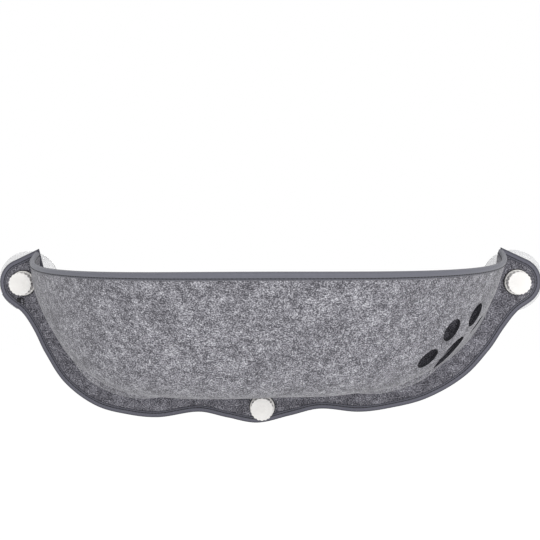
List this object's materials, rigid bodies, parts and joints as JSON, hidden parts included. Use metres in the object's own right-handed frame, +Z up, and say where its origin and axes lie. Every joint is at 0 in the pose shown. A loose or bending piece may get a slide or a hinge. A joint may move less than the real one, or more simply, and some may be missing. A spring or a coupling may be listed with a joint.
{
  "type": "window cat perch",
  "caption": "Boat-shaped felt bowl for a cat, hung flat on a window pane by suction cups with screw knobs.",
  "frame": {"origin": "on the window pane, midway between the axes of the two upper suction cups and at their height", "axes": "+X to the right and +Z up as seen from the room, +Y into the pane; the bowl lies on the -Y side"},
  "size_m": [0.698, 0.2822, 0.2263],
  "materials": {
    "felt": "matte",
    "back_felt": "matte",
    "binding_tape": "matte",
    "edge_tape": "matte",
    "clear_vinyl": "glossy",
    "white_plastic": "satin",
    "black_rubber": "matte"
  },
  "bodies": {
    "perch": {"back_panel": "back_felt", "front_panel": "felt", "edge_binding": "edge_tape", "rim_binding": "binding_tape", "left_cup": "clear_vinyl", "left_stud": "white_plastic", "right_cup": "clear_vinyl", "right_stud": "white_plastic", "bottom_cup": "clear_vinyl", "bottom_stud": "white_plastic"},
    "left_washer_body": {"left_washer": "black_rubber"},
    "left_knob_body": {"left_knob": "white_plastic"},
    "right_washer_body": {"right_washer": "black_rubber"},
    "right_knob_body": {"right_knob": "white_plastic"},
    "bottom_washer_body": {"bottom_washer": "black_rubber"},
    "bottom_knob_body": {"bottom_knob": "white_plastic"}
  },
  "joints": [
    {"name": "left_washer_slide", "type": "slide", "parent": "perch", "child": "left_washer_body", "axis": [0, -1, 0], "range_m": [0, 0.008]},
    {"name": "left_knob_turn", "type": "hinge", "parent": "left_washer_body", "child": "left_knob_body", "pos_m": [-0.31, -0.03, 0], "axis": [0, -1, 0], "range_deg": [0, 1440]},
    {"name": "right_washer_slide", "type": "slide", "parent": "perch", "child": "right_washer_body", "axis": [0, -1, 0], "range_m": [0, 0.008]},
    {"name": "right_knob_turn", "type": "hinge", "parent": "right_washer_body", "child": "right_knob_body", "pos_m": [0.31, -0.03, 0], "axis": [0, -1, 0], "range_deg": [0, 1440]},
    {"name": "bottom_washer_slide", "type": "slide", "parent": "perch", "child": "bottom_washer_body", "axis": [0, -1, 0], "range_m": [0, 0.008]},
    {"name": "bottom_knob_turn", "type": "hinge", "parent": "bottom_washer_body", "child": "bottom_knob_body", "pos_m": [-0.00825, -0.03, -0.158], "axis": [0, -1, 0], "range_deg": [0, 1440]}
  ],
  "couplings": [
    {"joint": "left_washer_slide", "follows": "left_knob_turn", "m_per_rad": 0.00031831},
    {"joint": "right_washer_slide", "follows": "right_knob_turn", "m_per_rad": 0.00031831},
    {"joint": "bottom_washer_slide", "follows": "bottom_knob_turn", "m_per_rad": 0.00031831}
  ]
}
